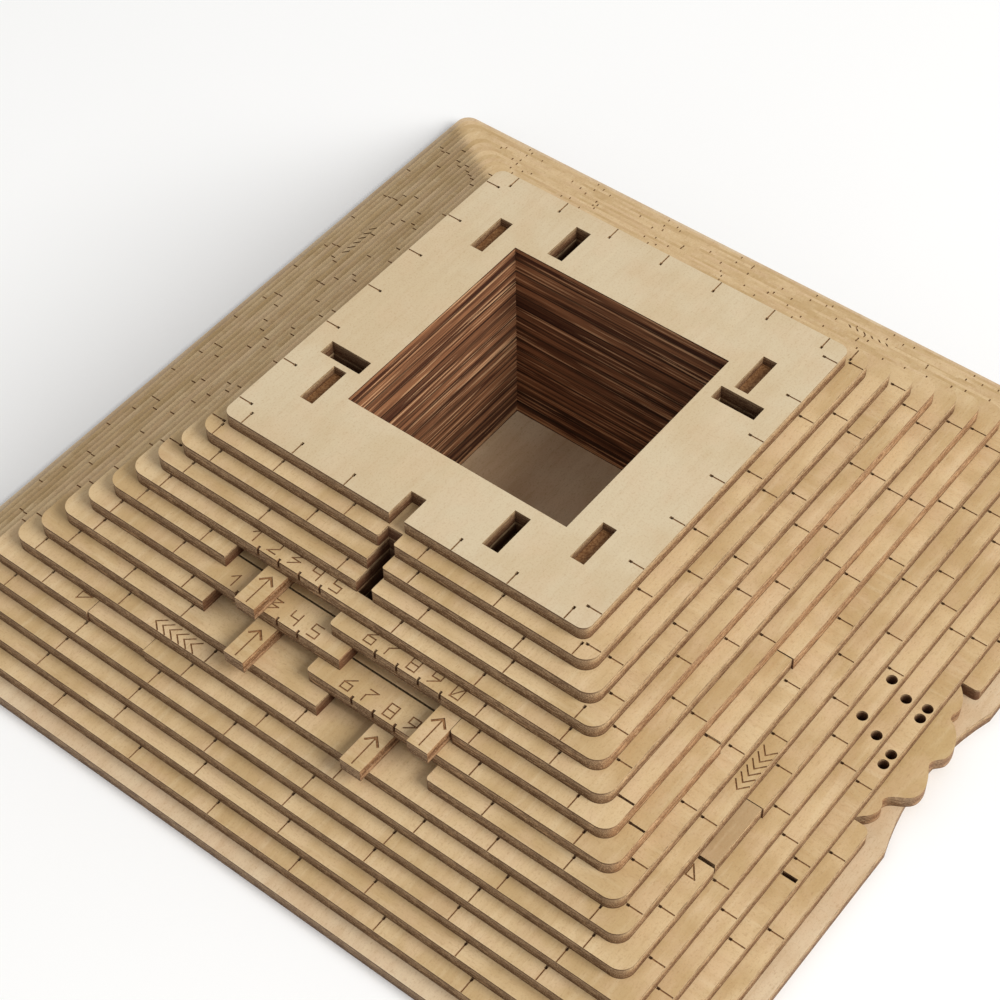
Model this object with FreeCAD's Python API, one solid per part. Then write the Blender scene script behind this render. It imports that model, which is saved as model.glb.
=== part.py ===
import FreeCAD, Part
import math
import os
os.makedirs("parts", exist_ok=True)

# Stepped pyramid puzzle box, glued up from laser-cut plywood plates. Millimetres, +Z up, with the
# origin at the centre of the underside. The -Y side carries the number sliders, the +X side the peg
# holes and the pull-out tablet. Layer 0 is the top plate and layer 15 is the base.

# ---- driving dimensions ----
plate = 3.13                # thickness of every plywood plate, with its glue
upper_tread = 3.3           # how much each of the upper layers stands out beyond the one above it
lower_tread = 3.46          # the same further down
upper_layers = 5
layer_count = 16
base_layer = layer_count - 1
top_half = 41.25            # half width of the top plate
corner_radius = 3.0
top_corner_radius = 2.0
well_half = 25.0            # half width of the square compartment
play = 0.1                  # gap above and below every loose piece

# engraving
line_width = 0.3
line_depth = 0.18
pit_width = 0.55            # the small pit where the beam starts a joint line, at the foot of the step
pit_length = 0.7
pit_depth = 0.5
rim_inset = 0.05            # a joint line stops this far from the rim of its tread
seam_width = 0.45           # a deeper cut joint
seam_depth = 0.5

# number scales
scale_pitch = 4.88
scale_centre = 15.0         # distance of each scale's middle digit from the centre line
digit_width = 1.85
digit_height = 2.8
digit_inset = 2.25          # digit centre, from the layer's outer edge
tick_width = 0.55
tick_reach = 0.7
tick_drop = 1.9

# sliders: a pointer in a gap of its own layer, glued to a code bar in the layer below
gap_left = 12.85            # reach of a gap to either side of its scale's middle
gap_right = 12.2
gap_depth = 7.1
gap_corner = 0.7            # rounding where the right-hand end of a gap meets the rim
pointer_width = 4.6
pointer_outside = 5.85
pointer_inside = 6.85
arrow_tail_outside = 5.2
arrow_tip_inside = 1.5
arrow_head = 1.4
arrow_head_width = 0.5
code_bar_half = 24.0
upper_bar_front = 3.7       # front face of a code bar, measured inwards from its slider's layer edge
lower_bar_front = 5.4
code_bar_back = -47.6
window_back = -47.3
upper_slit = 0.45           # gap left open in front of a code bar
lower_slit = 0.3
travel_half = 2 * scale_pitch
window_end_play = 0.3
gate_width = 4.0
gate_depth = 3.7
false_gate_depth = 1.2

# key channel on the centre line of the -Y side
channel_half = 1.75
channel_back = -41.7
channel_lip_back = -35.0
channel_front = -51.0
channel_corner = 0.45       # rounding where the channel meets the rim, on these sides of it
rounded_channel_layers = {1: (-1, 1), 2: (1,), 3: (1,)}

# slots in the top plate
shallow_slot = (3.0, 9.7)
shallow_slot_place = (30.9, 25.05)
shallow_slot_depth = 2.0
deep_slot = (3.5, 9.45)
deep_slot_place = (17.3, -32.1)
deep_slot_layers = 5

# pull-out tablet in layer 14, on the +X side
tablet_half = 18.6
tablet_inner = 52.0
tablet_travel = 18.0
mouth_play = 0.3
sharp_lip = 1.0             # rounding of the mouth's lip towards +Y
round_lip = 1.6             # and of its lip towards -Y
stop_peg_radius = 1.5
stop_peg_place = 80.0
scoop_half = 18.7
scoop_depth = 3.0

# peg holes on the +X side
hole_radius = 1.1
hole_offset = 0.4           # beyond the middle of the tread
single_hole_place = 5.05
pair_hole_places = (5.0, 7.65)

# loose push bricks
brick_travel = 3.0
brick_side_play = 0.15
upper_brick_side_play = 0.2
brick_flange = 2.0
brick_stop_play = 0.3
wide_brick_gap = 0.8

# joints between the engraved bricks, per layer: runs of (first joint, pitch, how many)
brick_rows = {
    0: [(-36.6, 12.2, 7)],
    1: [(-41.2, 16.8, 1), (-26.4, 16.8, 5)],
    2: [(-39.2, 23.35, 4)],
    3: [(-43.3, 18.6, 5), (46.4, 18.6, 1)],
    4: [(-46.6, 18.5, 6)],
    5: [(-49.9, 16.0, 7)],
    6: [(-53.9, 21.3, 6)],
    7: [(-55.5, 22.4, 6)],
    8: [(-59.4, 14.45, 2), (-30.5, 17.5, 6)],
    9: [(-65.4, 21.75, 7)],
    10: [(-60.8, 18.0, 1), (-25.1, 18.3, 6)],
    11: [(-68.2, 18.8, 8)],
    12: [(-70.6, 18.9, 8)],
    13: [(-74.2, 20.2, 8)],
    14: [(-66.35, 19.55, 8)],
}
# on the -Y side the joints stay clear of the scales and gaps
scale_zones = {
    4: (-29.5, -1.0),
    5: (-29.5, 29.5),
    6: (-33.0, 29.5),
    7: (-29.5, 29.5),
    8: (-29.5, 29.5),
}
extra_front_joints = {6: [-37.9]}
# joints left out because a peg hole or a scale is in their way, as (layer, side): places
absent_joints = {
    (9, 0): [21.6],
    (12, 1): [5.0],
    (13, 1): [6.6],
}
# joints cut deeper than the rest, as (layer, side, place)
deep_seams = [(6, 1, -53.9), (7, 1, -55.5)]
open_slot_layer = 13        # a slot right through the tread, on the +X side
open_slot_place = -37.6
open_slot_width = 0.9
open_slot_rim = 0.3

chevron_layer = 9
chevron_first = -35.4
chevron_pitch = 1.76
chevron_count = 6
chevron_length = 1.65
chevron_half = 1.4
chevron_offset = 0.2        # beyond the middle of the tread
triangle_layer = 10
triangle_base = -53.1
triangle_tip = -50.6
triangle_width = 1.9

# strokes of each digit, on a grid one unit wide and two units high
digit_strokes = {
    "1": [((0.1, 1.2), (0.75, 2)), ((0.75, 2), (0.75, 0))],
    "2": [((0, 2), (1, 2)), ((1, 2), (1, 1)), ((1, 1), (0, 0)), ((0, 0), (1, 0))],
    "3": [((0, 2), (1, 2)), ((1, 2), (0, 1)), ((0, 1), (1, 1)), ((1, 1), (0, 0))],
    "4": [((0, 2), (0, 1)), ((0, 1), (1, 1)), ((1, 2), (1, 0))],
    "5": [((1, 2), (0, 2)), ((0, 2), (0, 1)), ((0, 1), (1, 1)), ((1, 1), (1, 0)), ((1, 0), (0, 0))],
    "6": [((1, 2), (0, 1)), ((0, 1), (1, 1)), ((1, 1), (1, 0)), ((1, 0), (0, 0)), ((0, 0), (0, 1))],
    "7": [((0, 2), (1, 2)), ((1, 2), (0, 1)), ((0, 1), (0, 0))],
    "8": [((0, 2), (1, 2)), ((1, 2), (1, 0)), ((1, 0), (0, 0)), ((0, 0), (0, 2)), ((0, 1), (1, 1))],
    "9": [((0, 0), (1, 1)), ((1, 1), (0, 1)), ((0, 1), (0, 2)), ((0, 2), (1, 2)), ((1, 2), (1, 1))],
    "0": [((0, 2), (1, 2)), ((1, 2), (1, 0)), ((1, 0), (0, 0)), ((0, 0), (0, 2)), ((0, 0), (1, 2))],
}
left, right = -1, 1
# each scale is engraved on one layer: (layer, side of the centre line, digits)
scales = [(4, left, "12345"), (5, right, "67890"), (6, left, "12345"), (7, right, "67890")]
# each slider: own layer, side of the centre line, place of its pointer, its secret digit's step
# from the middle of the scale, where its code bar starts and the slit in front of the bar
sliders = {
    1: (5, left, -17.8, 1, upper_bar_front, upper_slit),
    2: (6, right, scale_centre + travel_half, -1, upper_bar_front, upper_slit),
    3: (7, left, -scale_centre, -1, lower_bar_front, lower_slit),
    4: (8, right, scale_centre, 1, lower_bar_front, lower_slit),
}

origin = FreeCAD.Vector(0, 0, 0)
upward = FreeCAD.Vector(0, 0, 1)
front, right_side, back, left_side = range(4)


# ---- helpers ----
def layer_half(layer):
    upper = min(layer, upper_layers)
    return top_half + upper * upper_tread + (layer - upper) * lower_tread


def foot_place(layer):
    """Where the -Y tread of a layer meets the foot of the step above it."""
    return -layer_half(layer - 1) if layer > 0 else -layer_half(0) + upper_tread


def layer_top(layer):
    return (layer_count - layer) * plate


def layer_bottom(layer):
    return layer_top(layer) - plate


def block(x_from, x_to, y_from, y_to, z_from, z_to):
    corner = FreeCAD.Vector(x_from, y_from, z_from)
    return Part.makeBox(x_to - x_from, y_to - y_from, z_to - z_from, corner)


def rounded_square(half, bottom, top, radius):
    """A square plate about the centre, with its four upright edges rounded."""
    solid = block(-half, half, -half, half, bottom, top)
    upright = [edge for edge in solid.Edges if edge.BoundBox.ZLength > 0.9 * (top - bottom)]
    return solid.makeFillet(radius, upright)


def turned(shape, side):
    """The shape moved from the -Y side to another: 0 is -Y, 1 is +X, 2 is +Y and 3 is -X."""
    copy = shape.copy()
    copy.rotate(origin, upward, 90 * side)
    return copy


def stroke(start, end, surface, width=line_width):
    """A cutter for one engraved line between two (x, y) points on a flat surface."""
    run = math.hypot(end[0] - start[0], end[1] - start[1])
    angle = math.degrees(math.atan2(end[1] - start[1], end[0] - start[0]))
    cutter = block(-width / 2, run + width / 2, -width / 2, width / 2, -line_depth, line_depth)
    cutter.rotate(origin, upward, angle)
    cutter.translate(FreeCAD.Vector(start[0], start[1], surface))
    return cutter


def joint_line(place, outer, inner, surface, width, depth):
    """A cutter for a line across the -Y tread, with the beam's starting pit at its inner end."""
    line = block(place - width / 2, place + width / 2, outer, inner, surface - depth, surface + depth)
    pit = block(
        place - pit_width / 2, place + pit_width / 2,
        inner - pit_length, inner, surface - pit_depth, surface + depth,
    )
    return line.fuse(pit)


def merged(cutters):
    return cutters[0].multiFuse(cutters[1:]) if len(cutters) > 1 else cutters[0]


def save(name, shape):
    """Write one sub-part, after checking that it is a single sound solid."""
    solid = shape.removeSplitter()
    if len(solid.Solids) != 1 or not solid.isValid():
        raise ValueError(name + " is not one sound solid: " + str(len(solid.Solids)))
    solid.Solids[0].exportStep(os.path.join("parts", name + ".step"))
    print(name, round(solid.Volume, 1))


# ---- engraving ----
def joint_places(layer, side):
    places = [first + index * pitch for first, pitch, count in brick_rows[layer] for index in range(count)]
    if side == front and layer in scale_zones:
        zone_from, zone_to = scale_zones[layer]
        places = [place for place in places if not zone_from < place < zone_to]
        places += extra_front_joints.get(layer, [])
    absent = absent_joints.get((layer, side), [])
    return [place for place in places if all(abs(place - gone) > 0.1 for gone in absent)]


def joint_cutters(layer):
    """Short lines across the tread, which make it look laid from bricks."""
    outer = -layer_half(layer) + rim_inset
    inner = foot_place(layer)
    surface = layer_top(layer)
    cutters = []
    for side in range(4):
        for place in joint_places(layer, side):
            if (layer, side, place) in deep_seams:
                line = joint_line(place, outer, inner, surface, seam_width, seam_depth)
            else:
                line = joint_line(place, outer, inner, surface, line_width, line_depth)
            cutters.append(turned(line, side))
    return cutters


def chevron_cutters():
    """Six chevrons on each side, pointing clockwise."""
    middle = (foot_place(chevron_layer) - layer_half(chevron_layer)) / 2 - chevron_offset
    surface = layer_top(chevron_layer)
    cutters = []
    for index in range(chevron_count):
        tip = chevron_first + index * chevron_pitch
        arms = []
        for arm in (-chevron_half, chevron_half):
            arms.append(stroke((tip, middle), (tip + chevron_length, middle + arm), surface))
        cutters += [turned(merged(arms), side) for side in range(4)]
    return cutters


def triangle_cutters():
    """A small engraved triangle on each side, against the step above."""
    inner = foot_place(triangle_layer) - line_width / 2
    base_outer = (triangle_base, inner - triangle_width)
    base_inner = (triangle_base, inner)
    tip = (triangle_tip, inner)
    surface = layer_top(triangle_layer)
    lines = [
        stroke(base_outer, base_inner, surface),
        stroke(base_inner, tip, surface),
        stroke(tip, base_outer, surface),
    ]
    return [turned(merged(lines), side) for side in range(4)]


def digit_cutter(digit, x_middle, y_middle, surface):
    def point(grid):
        return (x_middle + (grid[0] - 0.5) * digit_width, y_middle + (grid[1] / 2 - 0.5) * digit_height)

    return merged([stroke(point(a), point(b), surface) for a, b in digit_strokes[digit]])


def scale_cutters(layer):
    """The digits of a number scale, and the notches in the edge between them."""
    cutters = []
    edge = -layer_half(layer)
    surface = layer_top(layer)
    for scale_layer, side, digits in scales:
        if scale_layer != layer:
            continue
        for index, digit in enumerate(digits):
            place = side * scale_centre + (index - 2) * scale_pitch
            cutters.append(digit_cutter(digit, place, edge + digit_inset, surface))
        for index in range(len(digits) - 1):
            place = side * scale_centre + (index - 1.5) * scale_pitch
            left_edge = place - tick_width / 2
            right_edge = place + tick_width / 2
            tick = block(left_edge, right_edge, edge - 1, edge + tick_reach, surface - tick_drop, surface + 1)
            cutters.append(tick)
    return cutters


# ---- openings in the plates ----
def slider_cutters(layer):
    """The pointer's gap in its own layer, and the code bar's window in the layer below."""
    cutters = []
    for own_layer, side, _, _, bar_front, slit in sliders.values():
        edge = -layer_half(own_layer)
        middle = side * scale_centre
        bottom, top = layer_bottom(layer), layer_top(layer)
        if layer == own_layer:
            cutters.append(
                block(middle - gap_left, middle + gap_right, edge - 1, edge + gap_depth, bottom, top)
            )
        if layer == own_layer + 1:
            reach = code_bar_half + travel_half + window_end_play
            window_front = edge + bar_front - slit
            cutters.append(block(middle - reach, middle + reach, window_front, window_back, bottom, top))
    return cutters


def rim_edges(shape, layer, places):
    """The upright edges on the layer's -Y rim at these places along it."""
    edges = []
    for edge in shape.Edges:
        middle = edge.CenterOfMass
        at_rim = abs(middle.y + layer_half(layer)) < 0.01
        at_place = any(abs(middle.x - place) < 0.01 for place in places)
        if at_rim and at_place and edge.BoundBox.ZLength > 0.9 * plate:
            edges.append(edge)
    return edges


def round_mouths(solid, layer):
    """The plate with the corners rounded where its gap or the channel opens at the rim."""
    channel_places = [channel_half * side for side in rounded_channel_layers.get(layer, ())]
    gap_places = [
        side * scale_centre + gap_right for own_layer, side, *_ in sliders.values() if own_layer == layer
    ]
    for places, radius in ((channel_places, channel_corner), (gap_places, gap_corner)):
        edges = rim_edges(solid, layer, places)
        if edges:
            solid = solid.makeFillet(radius, edges)
    return solid


def channel_cutters(layer):
    """The key channel: a notch in the top plate, open below it, closed further down."""
    bottom, top = layer_bottom(layer), layer_top(layer)
    outside = -layer_half(layer) - 1
    if layer == 0:
        return [block(-channel_half, channel_half, outside, channel_lip_back, bottom, top)]
    if layer <= 3:
        return [block(-channel_half, channel_half, outside, channel_back, bottom, top)]
    if layer <= 5:
        return [block(-channel_half, channel_half, channel_front, channel_back, bottom, top)]
    if layer <= 9:
        return [block(-channel_half, channel_half, window_back - 0.5, channel_back, bottom, top)]
    return []


def slot_cutters(layer):
    """Four shallow pockets in the top plate, and four deep slots set in a pinwheel."""
    bottom, top = layer_bottom(layer), layer_top(layer)
    cutters = []
    if layer == 0:
        for x_sign in (-1, 1):
            for y_sign in (-1, 1):
                x_middle = x_sign * shallow_slot_place[0]
                y_middle = y_sign * shallow_slot_place[1]
                cutters.append(block(
                    x_middle - shallow_slot[0] / 2, x_middle + shallow_slot[0] / 2,
                    y_middle - shallow_slot[1] / 2, y_middle + shallow_slot[1] / 2,
                    top - shallow_slot_depth, top,
                ))
    if layer < deep_slot_layers:
        slot = block(
            deep_slot_place[0] - deep_slot[0] / 2, deep_slot_place[0] + deep_slot[0] / 2,
            deep_slot_place[1] - deep_slot[1] / 2, deep_slot_place[1] + deep_slot[1] / 2,
            bottom, top,
        )
        cutters += [turned(slot, side) for side in range(4)]
    return cutters


def peg_holes():
    """Eight peg holes, as (first layer, x, y); each runs from its own tread down to the base."""
    holes = []
    for layer, places in ((11, (single_hole_place,)), (12, (single_hole_place,)), (13, pair_hole_places)):
        x_middle = (layer_half(layer) - foot_place(layer)) / 2 + hole_offset
        for place in places:
            holes.append((layer, x_middle, place))
            holes.append((layer, x_middle, -place))
    return holes


def hole_cutters(layer, bottom, top):
    cutters = []
    for first_layer, x_middle, y_middle in peg_holes():
        if layer >= first_layer:
            foot = FreeCAD.Vector(x_middle, y_middle, bottom)
            cutters.append(Part.makeCylinder(hole_radius, top - bottom, foot))
    return cutters


# ---- loose push bricks ----
# each brick: name, layer, side, its two ends along the row, depth of its neck and whole length
bricks = [
    ("brick_front", 10, front, -49.1, -34.5, 9.75, 15.75),
    ("brick_right", 10, right_side, -49.25, -34.1, 9.75, 15.75),
    ("brick_back", 10, back, -49.1, -34.5, 9.75, 15.75),
    ("brick_left", 10, left_side, -49.1, -34.5, 9.75, 15.75),
    ("brick_upper", 7, right_side, -32.9, -10.2, 6.9, 13.4),
]


def brick_pocket(brick):
    """The T-shaped pocket: a neck at the edge and a wider room for the flange behind it."""
    _, layer, side, start, end, neck, length = brick
    edge = -layer_half(layer)
    bottom, top = layer_bottom(layer), layer_top(layer)
    room_end = edge + length + brick_travel + brick_stop_play
    room = brick_flange + brick_side_play
    mouth = block(start, end, edge - 1, edge + neck + 0.1, bottom, top)
    chamber = block(start - room, end + room, edge + neck, room_end, bottom, top)
    return turned(mouth.fuse(chamber), side)


def brick_shape(brick):
    """The brick itself: it slides straight in, and its flange keeps it from falling out."""
    name, layer, side, start, end, neck, length = brick
    side_play = upper_brick_side_play if name == "brick_upper" else brick_side_play
    edge = -layer_half(layer)
    bottom, top = layer_bottom(layer) + play, layer_top(layer) - play
    left_end = start + (wide_brick_gap if name == "brick_right" else side_play)
    right_end = end - side_play
    face = edge + brick_stop_play
    body = block(left_end, right_end, face, edge + length, bottom, top)
    flange = block(
        left_end - brick_flange, right_end + brick_flange,
        edge + neck + play, edge + length, bottom, top,
    )
    return turned(body.fuse(flange), side)


def brick_cutters(layer):
    return [brick_pocket(brick) for brick in bricks if brick[1] == layer]


# ---- pull-out tablet ----
def mouth_cutter():
    """The opening in layer 14 that the tablet slides out of, with rounded lips."""
    half = tablet_half + mouth_play
    outer = layer_half(14)
    bottom, top = layer_bottom(14), layer_top(14)
    opening = block(tablet_inner - mouth_play, outer + 1, -half, half, bottom, top)
    for rim, corner in ((-half, -round_lip), (half, sharp_lip)):
        radius = abs(corner)
        start, end = sorted((rim, rim + corner))
        square = block(outer - radius, outer + 1, start, end, bottom, top)
        foot = FreeCAD.Vector(outer - radius, rim + corner, bottom)
        opening = opening.fuse(square.cut(Part.makeCylinder(radius, plate, foot)))
    return opening


def wavy_outline():
    """The tablet's outline: straight inside the box, and four waves outside that lean to -Y."""
    inner_high = (tablet_inner, tablet_half)
    inner_low = (tablet_inner, -tablet_half)
    waves = [
        [(85.0, tablet_half), (86.4, 17.1), (87.8, 14.6), (88.0, 12.9), (87.6, 11.5), (87.9, 10.4)],
        [(87.9, 10.4), (89.7, 9.0), (91.1, 6.9), (91.8, 4.4), (91.5, 2.3), (90.4, 1.0), (89.9, -0.7)],
        [(89.9, -0.7), (91.3, -3.3), (92.0, -5.7), (91.7, -7.9), (89.9, -9.6), (87.8, -11.0), (87.2, -12.4)],
        [(87.2, -12.4), (87.9, -14.4), (87.2, -16.2), (86.0, -17.5), (85.0, -tablet_half)],
    ]

    def point(place):
        return FreeCAD.Vector(place[0], place[1], layer_bottom(14) + play)

    def wave(places):
        curve = Part.BSplineCurve()
        curve.interpolate([point(place) for place in places])
        return curve.toShape()

    return (
        [Part.LineSegment(point(inner_low), point(inner_high)).toShape()]
        + [Part.LineSegment(point(inner_high), point(waves[0][0])).toShape()]
        + [wave(places) for places in waves]
        + [Part.LineSegment(point(waves[-1][-1]), point(inner_low)).toShape()]
    )


def pull_tablet():
    """A flat tablet with a slot for the stop peg and holes in line with the peg holes."""
    bottom, top = layer_bottom(14) + play, layer_top(14) - play
    tablet = Part.Face(Part.Wire(wavy_outline())).extrude(FreeCAD.Vector(0, 0, top - bottom))
    slot_half = stop_peg_radius + 0.2
    slot_from = stop_peg_place - tablet_travel
    slot = block(slot_from, stop_peg_place, -slot_half, slot_half, bottom, top)
    for slot_end in (slot_from, stop_peg_place):
        foot = FreeCAD.Vector(slot_end, 0, bottom)
        slot = slot.fuse(Part.makeCylinder(slot_half, top - bottom, foot))
    return tablet.cut([slot] + hole_cutters(14, bottom, top))


def stop_peg():
    foot = FreeCAD.Vector(stop_peg_place, 0, layer_bottom(14))
    return Part.makeCylinder(stop_peg_radius, plate, foot)


# ---- plates ----
def base_plate():
    """The base: a plain plate with a shallow scoop in its edge to reach the tablet."""
    half = layer_half(base_layer)
    solid = rounded_square(half, 0, plate, corner_radius)
    start = FreeCAD.Vector(half, -scoop_half, 0)
    deepest = FreeCAD.Vector(half - scoop_depth, 0, 0)
    end = FreeCAD.Vector(half, scoop_half, 0)
    outline = Part.Wire([Part.Arc(start, deepest, end).toShape(), Part.LineSegment(end, start).toShape()])
    return solid.cut(Part.Face(outline).extrude(FreeCAD.Vector(0, 0, plate)))


def ring_plate(layer):
    """One square ring of the pyramid, with every opening and engraving that it carries."""
    half = layer_half(layer)
    bottom, top = layer_bottom(layer), layer_top(layer)
    radius = top_corner_radius if layer == 0 else corner_radius
    solid = rounded_square(half, bottom, top, radius)
    openings = [block(-well_half, well_half, -well_half, well_half, bottom, top)]
    openings += slider_cutters(layer)
    openings += channel_cutters(layer)
    openings += slot_cutters(layer)
    openings += brick_cutters(layer)
    if layer <= 13:
        openings += hole_cutters(layer, bottom, top)
    if layer == 14:
        openings.append(mouth_cutter())
    if layer == open_slot_layer:
        slot = block(
            open_slot_place - open_slot_width / 2, open_slot_place + open_slot_width / 2,
            -half + open_slot_rim, foot_place(layer), bottom, top,
        )
        openings.append(turned(slot, right_side))
    solid = round_mouths(solid.cut(openings), layer)
    engraving = joint_cutters(layer) + scale_cutters(layer)
    if layer == chevron_layer:
        engraving += chevron_cutters()
    if layer == triangle_layer:
        engraving += triangle_cutters()
    return solid.cut(engraving)


# ---- sliders ----
def pointer(slider):
    """A small tongue with an engraved arrow, which points at the scale above it."""
    own_layer, _, place, *_ = slider
    edge = -layer_half(own_layer)
    top = layer_top(own_layer) - play
    tongue = block(
        place - pointer_width / 2, place + pointer_width / 2,
        edge - pointer_outside, edge + pointer_inside,
        layer_bottom(own_layer) + play, top,
    )
    tail = (place, edge - arrow_tail_outside)
    tip = (place, edge + arrow_tip_inside)
    strokes = [stroke(tail, tip, top)]
    for arm in (-arrow_head, arrow_head):
        strokes.append(stroke(tip, (place + arm, tip[1] - arrow_head), top, arrow_head_width))
    return tongue.cut(merged(strokes))


def code_bar(slider):
    """The hidden bar under a pointer, with one true gate and two shallow false ones."""
    own_layer, side, place, secret, bar_front, _ = slider
    edge = -layer_half(own_layer)
    face = edge + bar_front
    bottom, top = layer_bottom(own_layer + 1) + play, layer_top(own_layer + 1) - play
    bar = block(place - code_bar_half, place + code_bar_half, face, code_bar_back, bottom, top)
    glue_pad = block(
        place - pointer_width / 2, place + pointer_width / 2, face, edge + pointer_inside,
        top, layer_bottom(own_layer) + play,
    )
    bar = bar.fuse(glue_pad)
    gates = []
    for step in (-1, 0, 1):
        gate_middle = place - (side * scale_centre + step * scale_pitch)
        depth = gate_depth if step == secret else false_gate_depth
        gates.append(block(
            gate_middle - gate_width / 2, gate_middle + gate_width / 2,
            code_bar_back - depth, code_bar_back, bottom, top,
        ))
    return bar.cut(gates)


# ---- the whole box ----
save("base_plate", base_plate())
for layer in range(1, base_layer):
    save("layer_%02d" % layer, ring_plate(layer))
save("top_plate", ring_plate(0))
for number, slider in sliders.items():
    save("pointer_%d" % number, pointer(slider))
    save("code_bar_%d" % number, code_bar(slider))
save("pull_tablet", pull_tablet())
save("stop_peg", stop_peg())
for brick in bricks:
    save(brick[0], brick_shape(brick))
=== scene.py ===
import math
import bpy
from mathutils import Matrix, Vector


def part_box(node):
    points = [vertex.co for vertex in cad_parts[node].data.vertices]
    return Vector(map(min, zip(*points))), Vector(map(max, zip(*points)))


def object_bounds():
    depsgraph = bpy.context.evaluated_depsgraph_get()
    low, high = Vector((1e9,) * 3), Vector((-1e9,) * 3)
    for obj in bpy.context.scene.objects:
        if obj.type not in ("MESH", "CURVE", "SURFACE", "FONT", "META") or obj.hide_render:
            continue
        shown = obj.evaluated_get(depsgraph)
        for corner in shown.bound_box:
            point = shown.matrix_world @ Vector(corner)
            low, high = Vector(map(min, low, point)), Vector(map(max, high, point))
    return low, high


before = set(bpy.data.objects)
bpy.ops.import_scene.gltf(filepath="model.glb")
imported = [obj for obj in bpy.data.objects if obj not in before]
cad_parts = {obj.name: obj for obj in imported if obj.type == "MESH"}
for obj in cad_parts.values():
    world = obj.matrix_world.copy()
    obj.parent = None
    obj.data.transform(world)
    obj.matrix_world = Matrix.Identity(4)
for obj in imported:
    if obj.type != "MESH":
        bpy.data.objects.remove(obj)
cad_low, cad_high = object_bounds()

# ---- sizes, in millimetres as in the CAD model ----
plate = 1000.0 * (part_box("base_plate")[1][2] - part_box("base_plate")[0][2])
well_half = 25.0            # half width of the compartment
ply = 0.9                   # outer ply of the three-ply sheet
corner_margin = 0.95        # how far the rounding takes a plate's corner in from its rim
layer_start = 0.03          # how far over a layer's top face its depth is measured from
groove_start = 0.2          # faces deeper than this are the floors of engraving
pit_start = 0.4             # the starting pit of an engraved joint lies between these depths
pit_end = 0.8
opening_start = 0.55        # the walls of openings are painted darker below this depth, as painted shade

# ---- cut edges: colours of the top ply, core and bottom ply, and how deep the core reaches ----
# painted light and shade: edges facing ±X get paler plies, standing in for the key light, and edges facing
# ±Y get darker plies, standing in for their shade
shaded_plies = ((150, 124, 94), (130, 104, 76), (98, 70, 44), 1.95)       # edges facing -Y and +Y
lit_plies = ((190, 162, 122), (162, 128, 90), (106, 72, 44), 1.65)  # edges facing -X and +X
even_plies = ((174, 134, 95), (160, 118, 80), (150, 108, 72), 2.1)
cored_plies = ((164, 122, 82), (112, 70, 38), (174, 134, 98), 2.1)
even_layers = ("layer_04", "layer_06", "layer_07")
streak_tones = ((104, 68, 40), (218, 178, 134))
mottle_tone = (96, 62, 38)
speckle_tones = ((84, 58, 38), (202, 172, 136))
thread_tones = ((80, 54, 34), (196, 166, 130))

# ---- burnt wood where the beam has passed, with painted shade at the feet of the edges and inside the openings, and painted glints on the compartment's walls ----
rim_scorch_and_foot_shade = (80, 54, 32)
opening_shade_tone = (82, 44, 26)
pit_char = (84, 54, 32)
groove_tones = ((118, 78, 44), (168, 126, 84))
wall_tones = ((80, 46, 30), (158, 108, 74))      # each ply of the compartment's walls
# painted glints (the bright tone) and dark streaks along the compartment's walls
wall_glints_and_streaks = ((222, 176, 132), (54, 30, 20))
wall_seam = (38, 22, 14)
top_opening_shade = 0.4          # how strongly shade is painted on the openings' walls
layer_opening_shade = 0.65

# ---- veneer: the light and dark tones of each plate's face ----
tread_tones = ((214, 186, 143), (194, 164, 118))
own_tones = {
    "top_plate": ((210, 192, 160), (205, 184, 149)),
    "base_plate": ((216, 193, 160), (206, 178, 142)),
    "pull_tablet": ((198, 170, 122), (190, 160, 112)),
    # darker tones for the right-hand brick: partly its browner wood, partly painted shade of its tilt
    "brick_right": ((188, 160, 121), (180, 150, 110)),
}
blush_tone = (214, 182, 148)
grain_tones = ((178, 142, 96), (230, 210, 172))
fleck_tone = (160, 120, 80)
pore_tone = (164, 128, 88)
seed_shift = 37.0           # how far apart in the noise two plates lie
smoothest = 0.58            # roughness of the wood, from its pale streaks to its dark ones
roughest = 0.74
relief_strength = 0.35
relief_height = 0.00008     # in metres

# ---- camera, in metres and degrees, its lens and sensor in millimetres ----
camera_azimuth = -51.061
camera_elevation = 49.887
camera_roll = -1.21
camera_distance = 0.44761
camera_target = Vector((-0.00393, -0.00745, 0.02))
camera_lens = 83.56
camera_sensor = 36.0

# ---- floor and surroundings, in metres ----
floor_half = 3.0
floor_gap = 0.00005         # keeps the floor clear of the box's underside
floor_tones = ((248, 248, 247), (252, 252, 252))
surroundings = 0.55         # strength of the pale light from all round


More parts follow.
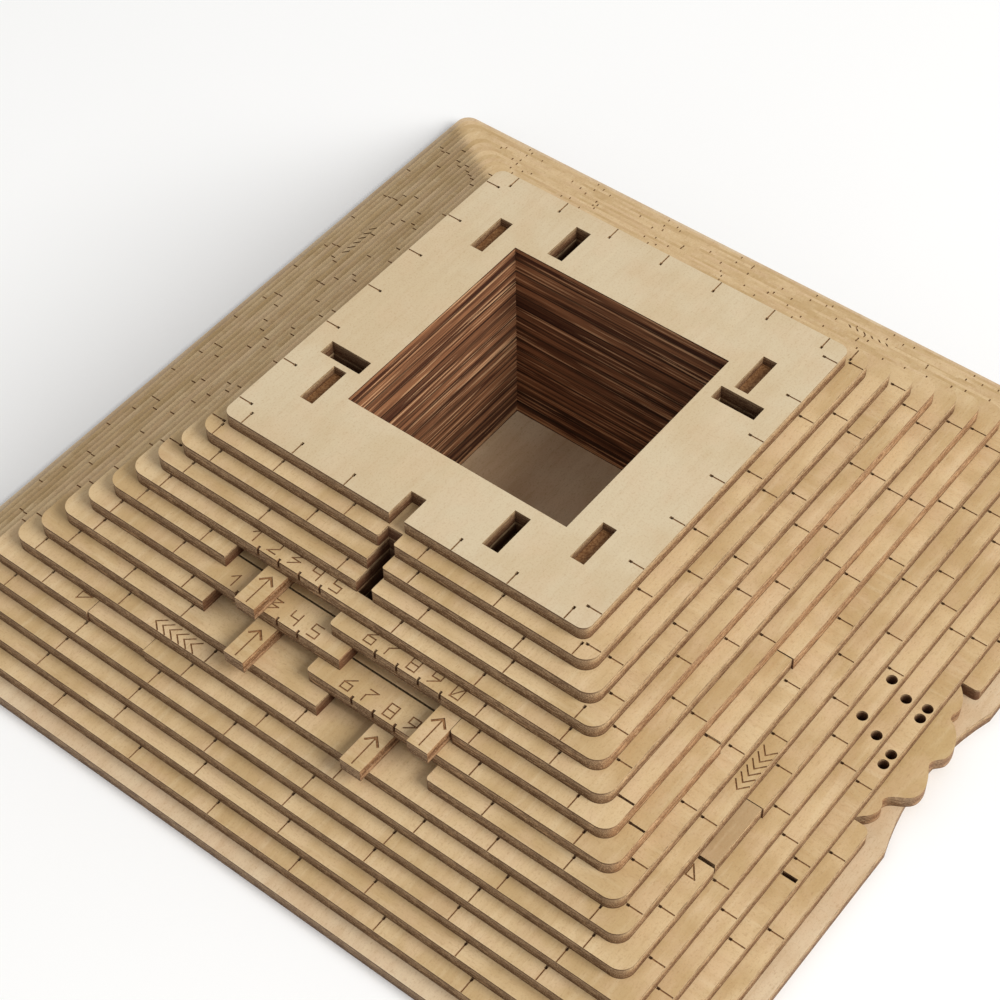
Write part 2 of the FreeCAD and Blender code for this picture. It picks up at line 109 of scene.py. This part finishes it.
# ---- node helpers ----
class Shader:
    """Short names for building one material's node tree."""

    def __init__(self, name):
        self.material = bpy.data.materials.new(name)
        self.material.use_nodes = True
        self.tree = self.material.node_tree
        self.tree.nodes.clear()

    def node(self, kind, **settings):
        made = self.tree.nodes.new(kind)
        for key, value in settings.items():
            setattr(made, key, value)
        return made

    def feed(self, socket, value):
        if isinstance(value, bpy.types.NodeSocket):
            self.tree.links.new(value, socket)
        else:
            socket.default_value = value

    def math(self, operation, first, second=0.0, third=0.0, clamp=False):
        made = self.node("ShaderNodeMath", operation=operation, use_clamp=clamp)
        for index, value in enumerate((first, second, third)):
            self.feed(made.inputs[index], value)
        return made.outputs[0]

    def add(self, first, second):
        return self.math("ADD", first, second)

    def multiply(self, first, second):
        return self.math("MULTIPLY", first, second)

    def both(self, first, second):
        return self.math("MULTIPLY", first, second, clamp=True)

    def above(self, value, limit):
        return self.math("GREATER_THAN", value, limit)

    def below(self, value, limit):
        return self.math("LESS_THAN", value, limit)

    def fade(self, value, start, end):
        """0 at start and 1 at end, smoothly; start may be above end."""
        made = self.node("ShaderNodeMapRange", interpolation_type="SMOOTHSTEP")
        self.feed(made.inputs["Value"], value)
        made.inputs["From Min"].default_value = start
        made.inputs["From Max"].default_value = end
        return made.outputs["Result"]

    def mix(self, amount, first, second):
        made = self.node("ShaderNodeMix", data_type="RGBA")
        self.feed(made.inputs[0], amount)
        self.feed(made.inputs[6], colour(first) if isinstance(first, tuple) else first)
        self.feed(made.inputs[7], colour(second) if isinstance(second, tuple) else second)
        return made.outputs[2]

    def stain(self, base, pattern, start, end, amount, tone):
        """The tone over the base, by up to the amount, as the pattern goes from start to end."""
        return self.mix(self.multiply(self.fade(pattern, start, end), amount), base, tone)

    def place(self, x, y, z):
        made = self.node("ShaderNodeCombineXYZ")
        for index, value in enumerate((x, y, z)):
            self.feed(made.inputs[index], value)
        return made.outputs[0]

    def noise(self, vector, scale, detail, roughness=0.55):
        made = self.node("ShaderNodeTexNoise", noise_dimensions="3D")
        self.feed(made.inputs["Vector"], vector)
        made.inputs["Scale"].default_value = scale
        made.inputs["Detail"].default_value = detail
        made.inputs["Roughness"].default_value = roughness
        return made.outputs["Fac"]


def colour(rgb):
    """A linear colour from 0 to 255 display values."""
    linear = []
    for value in rgb:
        value = value / 255
        linear.append(value / 12.92 if value <= 0.04045 else ((value + 0.055) / 1.055) ** 2.4)
    return (*linear, 1.0)


# ---- plywood ----
class Places:
    """Where a point of a plate lies, in millimetres, and which way its surface faces."""

    def __init__(self, s, rim):
        coordinates = s.node("ShaderNodeTexCoord")
        millimetres = s.node("ShaderNodeVectorMath", operation="SCALE")
        s.feed(millimetres.inputs[0], coordinates.outputs["Object"])
        millimetres.inputs["Scale"].default_value = 1000.0
        split = s.node("ShaderNodeSeparateXYZ")
        s.feed(split.inputs[0], millimetres.outputs[0])
        facing = s.node("ShaderNodeSeparateXYZ")
        s.feed(facing.inputs[0], coordinates.outputs["Normal"])
        self.x, self.y, self.z = split.outputs
        self.outwards = s.add(s.multiply(self.x, facing.outputs[0]), s.multiply(self.y, facing.outputs[1]))
        self.x_facing = s.math("ABSOLUTE", facing.outputs[0])
        self.y_facing = s.math("ABSOLUTE", facing.outputs[1])
        # depth below the top of the plate, distance out from the centre, and place along a side
        self.depth = s.math("FLOORED_MODULO", s.math("SUBTRACT", layer_start, self.z), plate)
        self.reach = s.math("MAXIMUM", s.math("ABSOLUTE", self.x), s.math("ABSOLUTE", self.y))
        self.run = s.add(s.multiply(self.x, self.y_facing), s.multiply(self.y, self.x_facing))
        self.on_side = s.below(s.math("ABSOLUTE", facing.outputs[2]), 0.5)
        self.on_floor = s.both(s.above(facing.outputs[2], 0.5), s.above(self.depth, groove_start))
        self.in_well = s.both(s.below(self.reach, well_half + 0.05), self.on_side)
        # the plate's own outer edges, not the walls of its openings and engraving
        near_rim = s.above(self.reach, rim - corner_margin)
        facing_out = s.above(s.math("SUBTRACT", self.outwards, s.multiply(self.reach, 0.9)), 0.0)
        self.on_rim = s.both(near_rim, facing_out)


def veneer(s, at, shift, light, dark, grain, contrast):
    """The pale face: broad cloudy tone, faint grain streaks, short flecks and fine pores."""
    along, across = (at.y, at.x) if grain == "y" else (at.x, at.y)
    streaks = s.noise(s.place(s.add(across, shift), s.multiply(along, 0.1), shift), 0.7, 4.0, 0.6)
    flecks = s.noise(s.place(s.add(across, shift), s.multiply(along, 0.3), shift), 3.0, 2.0, 0.5)
    pores = s.noise(s.place(s.add(at.x, shift), at.y, shift), 2.6, 3.0, 0.7)
    clouds = s.place(s.add(at.x, shift), at.y, shift)
    tone = s.noise(clouds, 0.05, 3.0, 0.6)
    blush = s.noise(s.place(at.y, s.add(at.x, shift), shift), 0.13, 3.0)
    face = s.mix(s.fade(tone, 0.38, 0.62), light, dark)
    face = s.stain(face, blush, 0.45, 0.65, 0.3 * contrast, blush_tone)
    face = s.stain(face, streaks, 0.48, 0.72, 0.22 * contrast, grain_tones[0])
    face = s.stain(face, streaks, 0.5, 0.28, 0.22 * contrast, grain_tones[1])
    face = s.stain(face, flecks, 0.56, 0.74, 0.32 * contrast, fleck_tone)
    face = s.stain(face, pores, 0.5, 0.7, 0.3, pore_tone)
    return face, streaks, flecks


def cut_edge(s, at, shift, x_plies, opening_shade_amount):
    """The laser-cut edge: three plies, mottled and streaked, painted paler where it faces ±X and darker
    where it faces ±Y as light and shade, with a scorched line on top and a line of painted shade at the
    foot.
    """
    streak_place = s.place(s.multiply(at.run, 0.16), s.add(s.multiply(at.depth, 1.8), shift), shift)
    mottle_place = s.place(s.add(at.run, shift), at.z, shift)
    streaks = s.noise(streak_place, 1.7, 4.0, 0.7)
    mottle = s.noise(mottle_place, 1.3, 5.0, 0.8)
    speckle = s.noise(mottle_place, 3.6, 2.0, 0.6)
    thread_place = s.place(s.multiply(at.run, 0.3), s.add(s.multiply(at.depth, 5.0), shift), shift)
    threads = s.noise(thread_place, 1.2, 2.0, 0.6)
    height = s.add(at.depth, s.multiply(s.add(mottle, -0.5), 1.2))
    sides = []
    for top_ply, core, bottom_ply, core_depth in (x_plies, shaded_plies):
        side = s.mix(s.fade(height, ply - 0.2, ply + 0.3), top_ply, core)
        sides.append(s.mix(s.fade(height, core_depth - 0.25, core_depth + 0.25), side, bottom_ply))
    # painted light and shade: paler plies where the edge faces ±X, darker plies where it faces ±Y
    edge = s.mix(s.fade(at.y_facing, 0.35, 0.8), *sides)
    streakiness = 0.75 if x_plies is even_plies else 0.4
    edge = s.stain(edge, streaks, 0.51, 0.6, streakiness, streak_tones[0])
    edge = s.stain(edge, streaks, 0.47, 0.36, streakiness, streak_tones[1])
    edge = s.stain(edge, mottle, 0.52, 0.64, 0.5, mottle_tone)
    edge = s.stain(edge, speckle, 0.53, 0.64, 0.55, speckle_tones[0])
    edge = s.stain(edge, speckle, 0.46, 0.34, 0.5, speckle_tones[1])
    edge = s.stain(edge, threads, 0.52, 0.58, 0.55, thread_tones[0])
    edge = s.stain(edge, threads, 0.46, 0.38, 0.35, thread_tones[1])

    # a scorched line along the rim, made stronger on the ±Y edges and fainter on the lit ±X edges as
    # painted light and shade; a dark line at the foot of each edge, which is painted shade where the edge
    # meets the plate below; and darker walls inside the openings, which are painted shade
    rim = s.multiply(s.fade(at.depth, 0.5, 0.25), s.math("MULTIPLY_ADD", at.y_facing, 0.65, 0.2))
    foot = s.multiply(s.fade(at.depth, plate - 0.45, plate - 0.1), 0.65)
    edge = s.mix(s.math("MAXIMUM", s.multiply(rim, at.on_rim), foot), edge, rim_scorch_and_foot_shade)
    # painted shade: the walls of the openings are darkened below their top, as if in the recess's shade
    opening = s.both(s.math("SUBTRACT", 1.0, at.on_rim), s.above(at.depth, opening_start))
    return s.mix(s.multiply(opening, opening_shade_amount), edge, opening_shade_tone), streaks


def compartment_wall(s, at, shift):
    """Inside the compartment every ply has its own dark tone, with dark streaks and thin bright lines that
    are painted glints.
    """
    ply_number = s.math("FLOOR", at.z)
    by_ply = s.place(s.multiply(at.run, 0.02), s.multiply(ply_number, 3.7), shift)
    along = s.place(s.multiply(at.run, 0.025), s.add(s.multiply(at.z, 1.3), shift), shift)
    tone = s.noise(by_ply, 1.0, 1.0)
    lines = s.noise(along, 1.4, 3.0, 0.65)
    wall = s.mix(s.fade(tone, 0.35, 0.62), *wall_tones)
    # painted glints: thin bright lines along the walls where light would catch them
    wall = s.stain(wall, lines, 0.55, 0.63, 0.85, wall_glints_and_streaks[0])
    wall = s.stain(wall, lines, 0.47, 0.38, 0.75, wall_glints_and_streaks[1])
    seam = s.math("MAXIMUM", s.fade(at.depth, 0.4, 0.12), s.fade(at.depth, plate - 0.3, plate - 0.05))
    return s.mix(s.multiply(seam, 0.8), wall, wall_seam)


def relief(s, at, face_height, edge_streaks):
    """Fine grain on the faces, and the upright ridges left by the beam on the cut edges."""
    ridges = s.noise(s.place(at.run, s.multiply(at.depth, 0.25), at.reach), 4.0, 2.0, 0.5)
    height = s.node("ShaderNodeMix", data_type="FLOAT")
    s.feed(height.inputs[0], at.on_side)
    s.feed(height.inputs[2], face_height)
    s.feed(height.inputs[3], s.add(s.multiply(ridges, 0.8), edge_streaks))
    bump = s.node("ShaderNodeBump")
    bump.inputs["Strength"].default_value = relief_strength
    bump.inputs["Distance"].default_value = relief_height
    s.feed(bump.inputs["Height"], height.outputs[0])
    return bump.outputs[0]


def plywood(name, seed, rim, light, dark, grain, contrast, x_plies, opening_shade_amount):
    """Laser-cut plywood: pale veneer on top, scorched grooves and striped cut edges, with painted light
    and shade on the edges and painted glints in the compartment.
    """
    s = Shader(name)
    at = Places(s, rim)
    shift = seed_shift * seed
    face, streaks, flecks = veneer(s, at, shift, light, dark, grain, contrast)
    edge, edge_streaks = cut_edge(s, at, shift, x_plies, opening_shade_amount)
    edge = s.mix(at.in_well, edge, compartment_wall(s, at, shift))
    burn = s.noise(s.place(at.x, at.y, at.z), 2.4, 4.0, 0.7)
    burnt = s.mix(s.fade(burn, 0.35, 0.7), *groove_tones)
    in_pit = s.both(s.above(at.depth, pit_start), s.below(at.depth, pit_end))
    burnt = s.mix(in_pit, burnt, pit_char)
    base = s.mix(at.on_floor, face, burnt)
    base = s.mix(at.on_side, base, edge)

    gloss = s.node("ShaderNodeMapRange")
    s.feed(gloss.inputs["Value"], streaks)
    gloss.inputs["To Min"].default_value = smoothest
    gloss.inputs["To Max"].default_value = roughest
    surface = s.node("ShaderNodeBsdfPrincipled")
    s.feed(surface.inputs["Base Color"], base)
    s.feed(surface.inputs["Roughness"], gloss.outputs[0])
    surface.inputs["Specular IOR Level"].default_value = 0.25
    face_height = s.add(s.multiply(streaks, 0.5), s.multiply(flecks, 0.5))
    s.feed(surface.inputs["Normal"], relief(s, at, face_height, edge_streaks))
    output = s.node("ShaderNodeOutputMaterial")
    s.feed(output.inputs[0], surface.outputs[0])
    return s.material


def dress(node, material):
    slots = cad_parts[node].data.materials
    slots.clear()
    slots.append(material)


def dress_all():
    """Every CAD node gets its own plywood, so that no two plates share their grain."""
    for seed, name in enumerate(sorted(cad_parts)):
        light, dark = own_tones.get(name, tread_tones)
        # the pointers and every fifth sheet are cut with their grain turned
        grain = "x" if name.startswith("pointer") or seed % 5 == 2 else "y"
        contrast = 0.5 if name == "top_plate" else 1.0
        x_plies = lit_plies
        if name in even_layers:
            x_plies = even_plies
        elif name.startswith("pointer") or name == "pull_tablet":
            x_plies = cored_plies
        rim = 1000.0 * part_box(name)[1][0]
        opening_shade_amount = 0.0
        if name == "top_plate":
            opening_shade_amount = top_opening_shade
        elif name.startswith("layer"):
            opening_shade_amount = layer_opening_shade
        made = plywood("plywood_" + name, seed, rim, light, dark, grain, contrast, x_plies, opening_shade_amount)
        dress(name, made)


# ---- floor, light and camera ----
def floor():
    """A plain pale surface under the box."""
    half = floor_half
    mesh = bpy.data.meshes.new("floor")
    corners = [(-half, -half, 0), (half, -half, 0), (half, half, 0), (-half, half, 0)]
    mesh.from_pydata(corners, [], [(0, 1, 2, 3)])
    ground = bpy.data.objects.new("floor", mesh)
    ground.location.z = cad_low.z - floor_gap
    bpy.context.scene.collection.objects.link(ground)
    s = Shader("floor")
    coordinates = s.node("ShaderNodeTexCoord")
    mottle = s.noise(coordinates.outputs["Object"], 6.0, 2.0)
    surface = s.node("ShaderNodeBsdfPrincipled")
    s.feed(surface.inputs["Base Color"], s.mix(mottle, *floor_tones))
    surface.inputs["Roughness"].default_value = 0.9
    output = s.node("ShaderNodeOutputMaterial")
    s.feed(output.inputs[0], surface.outputs[0])
    mesh.materials.append(s.material)


def direction(azimuth, elevation):
    """The direction away from the box at an azimuth and elevation in degrees."""
    across, up = math.radians(azimuth), math.radians(elevation)
    return Vector((math.cos(up) * math.cos(across), math.cos(up) * math.sin(across), math.sin(up)))


def area_light(name, azimuth, elevation, distance, size, brightness, tint):
    """A square soft box aimed at the box; brightness is what it adds to a white level surface."""
    light = bpy.data.lights.new(name, "AREA")
    light.shape = "SQUARE"
    light.size = size
    light.energy = brightness * (math.pi * distance) ** 2 / math.sin(math.radians(elevation))
    light.color = tint
    lamp = bpy.data.objects.new(name, light)
    away = direction(azimuth, elevation)
    lamp.location = away * distance
    lamp.rotation_euler = away.to_track_quat("Z", "Y").to_euler()
    bpy.context.scene.collection.objects.link(lamp)


def lighting():
    """A large, low key light from the +X side, and pale surroundings."""
    area_light("key", azimuth=4, elevation=38, distance=2.4, size=1.2, brightness=0.56,
               tint=(1.0, 0.99, 0.97))
    world = bpy.data.worlds.new("studio")
    world.use_nodes = True
    background = world.node_tree.nodes["Background"]
    background.inputs[0].default_value = (1.0, 1.0, 1.0, 1.0)
    background.inputs[1].default_value = surroundings
    bpy.context.scene.world = world
    bpy.context.scene.view_settings.view_transform = "Standard"


def camera():
    """The camera looks down at the corner between the -Y and +X sides."""
    away = direction(camera_azimuth, camera_elevation)
    flat_right = (-away).cross(Vector((0, 0, 1))).normalized()
    flat_up = flat_right.cross(-away)
    roll = math.radians(camera_roll)
    right = math.cos(roll) * flat_right + math.sin(roll) * flat_up
    upright = math.cos(roll) * flat_up - math.sin(roll) * flat_right
    data = bpy.data.cameras.new("camera")
    data.lens = camera_lens
    data.sensor_width = camera_sensor
    data.clip_start = 0.01
    eye = bpy.data.objects.new("camera", data)
    turn = Matrix((right, upright, away)).transposed().to_4x4()
    eye.matrix_world = Matrix.Translation(camera_target + away * camera_distance) @ turn
    bpy.context.scene.collection.objects.link(eye)
    bpy.context.scene.camera = eye


dress_all()
floor()
lighting()
camera()
bpy.context.view_layer.update()
